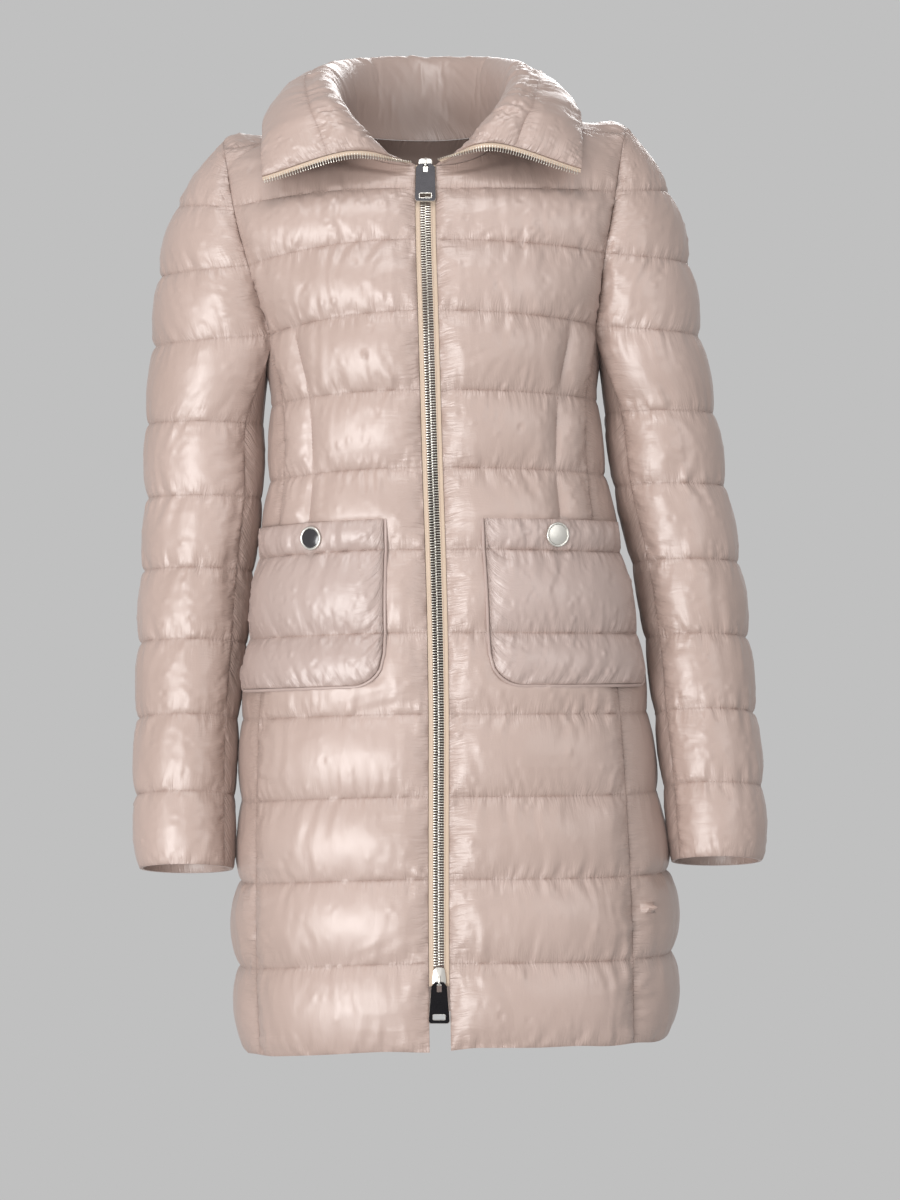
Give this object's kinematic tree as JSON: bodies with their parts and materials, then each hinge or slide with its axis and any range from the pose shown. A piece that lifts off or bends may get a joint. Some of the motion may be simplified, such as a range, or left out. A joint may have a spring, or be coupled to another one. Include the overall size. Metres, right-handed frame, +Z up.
{
  "type": "long puffer coat",
  "caption": "Knee-length quilted down coat worn open-necked: fold-out zip collar, two-way metal zip, patch pockets with snap buttons, two-piece sleeves.",
  "frame": {"origin": "between the shoulders at neck level, where the wearer carries the coat", "axes": "+Z up, the front faces -Y, the wearer's left is at +X"},
  "size_m": [0.5851, 0.3063, 0.9241],
  "materials": {
    "quilted_nylon": "satin",
    "pocket_nylon": "satin",
    "piping": "satin",
    "zip_tape": "matte",
    "zip_metal": "polished",
    "pull_metal": "gunmetal gloss",
    "button_enamel": "gloss",
    "button_silver": "polished"
  },
  "bodies": {
    "root": {"front_right": "quilted_nylon", "front_left": "quilted_nylon", "side_right": "quilted_nylon", "side_left": "quilted_nylon", "back": "quilted_nylon", "sleeve_right_top": "quilted_nylon", "sleeve_right_under": "quilted_nylon", "sleeve_left_top": "quilted_nylon", "sleeve_left_under": "quilted_nylon", "collar": "quilted_nylon", "pocket_right": "pocket_nylon", "pocket_left": "pocket_nylon", "piping_right": "piping", "piping_left": "piping", "button_right": "button_enamel", "button_left": "button_silver", "zip_tape_right": "zip_tape", "zip_tape_left": "zip_tape", "collar_tape_right": "zip_tape", "collar_tape_left": "zip_tape", "zip_chain": "zip_metal", "slider_top": "zip_metal", "slider_bottom": "zip_metal"},
    "pull_top": {"pull_top": "pull_metal"},
    "pull_bottom": {"pull_bottom": "pull_metal"}
  },
  "joints": [
    {"name": "pull_top_hinge", "type": "hinge", "parent": "root", "child": "pull_top", "pos_m": [-0.0045, -0.09144, -0.03552], "axis": [-1, 0, 0], "range_deg": [0, 160]},
    {"name": "pull_bottom_hinge", "type": "hinge", "parent": "root", "child": "pull_bottom", "pos_m": [0.00794, -0.1433, -0.76408], "axis": [-1, 0, 0], "range_deg": [0, 160]}
  ]
}
